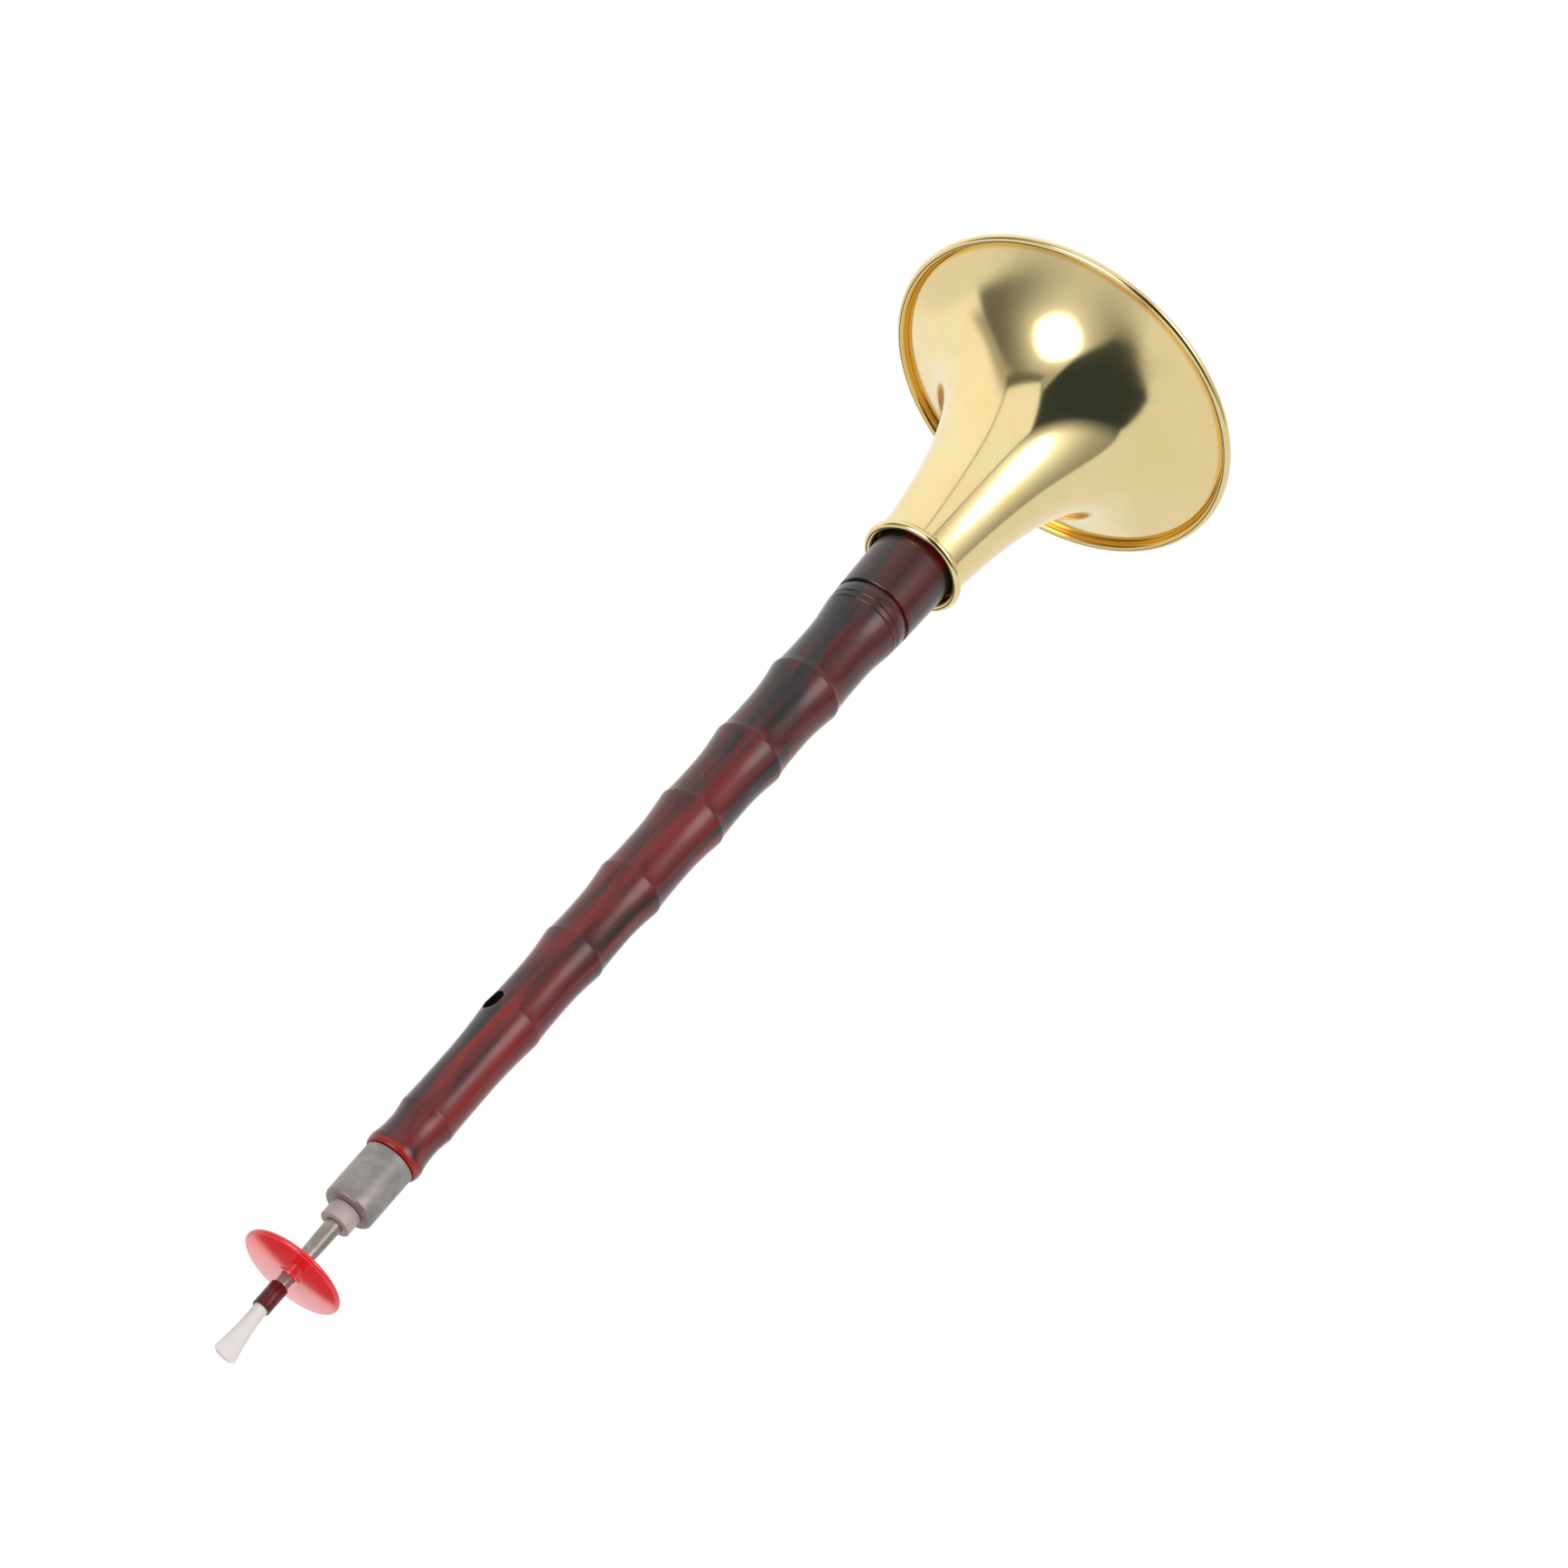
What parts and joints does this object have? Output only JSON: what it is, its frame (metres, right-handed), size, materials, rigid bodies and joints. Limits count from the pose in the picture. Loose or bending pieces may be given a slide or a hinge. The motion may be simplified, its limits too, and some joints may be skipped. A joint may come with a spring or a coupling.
{
  "type": "suona",
  "caption": "Conical double-reed shawm with a bamboo-jointed resin pipe, spun brass bell, metal tuning core, lip disc and flattened reed.",
  "frame": {"origin": "centre of the bell's mouth, in the plane that the rim stands on", "axes": "+Z along the bore towards the reed; -Y faces the finger holes; the reed's flat is turned 18 degrees from Y"},
  "size_m": [0.115, 0.115, 0.395],
  "materials": {
    "bell_brass": "polished pale gold",
    "rim_wire_steel": "drawn wire",
    "pipe_resin": "satin-polished dark red, marbled",
    "packing": "matt dark brown",
    "core_metal": "satin",
    "bushing_silicone": "milky, soft gloss",
    "staple_metal": "drawn, lengthwise streaks",
    "disc_plastic": "high gloss",
    "binding_lacquer": "glossy lacquer over whipping",
    "reed_film": "translucent milky white"
  },
  "bodies": {
    "bell": {"bell_flare": "bell_brass", "bell_rim_wire": "rim_wire_steel", "bell_neck_ring": "bell_brass"},
    "pipe": {"pipe": "pipe_resin", "seat_packing": "packing"},
    "core": {"core_cap": "core_metal", "core_tube": "core_metal", "core_seal": "packing"},
    "bushing": {"bushing": "bushing_silicone"},
    "staple": {"staple": "staple_metal"},
    "disc": {"lip_disc": "disc_plastic"},
    "reed": {"reed": "reed_film", "reed_binding": "binding_lacquer"}
  },
  "joints": [
    {"name": "pipe_out_of_bell", "type": "slide", "parent": "bell", "child": "pipe", "axis": [0, 0, 1], "range_m": [0, 0.03]},
    {"name": "core_tuning", "type": "slide", "parent": "pipe", "child": "core", "axis": [0, 0, 1], "range_m": [0, 0.015]},
    {"name": "bushing_out_of_core", "type": "slide", "parent": "core", "child": "bushing", "axis": [0, 0, 1], "range_m": [0, 0.03]},
    {"name": "staple_turn", "type": "hinge", "parent": "bushing", "child": "staple", "pos_m": [0, 0, 0.3466], "axis": [0, 0, 1], "continuous": true},
    {"name": "disc_up_staple", "type": "slide", "parent": "staple", "child": "disc", "axis": [0, 0, 1], "range_m": [0, 0.003]},
    {"name": "reed_off_staple", "type": "slide", "parent": "staple", "child": "reed", "axis": [0, 0, 1], "range_m": [0, 0.01]}
  ]
}
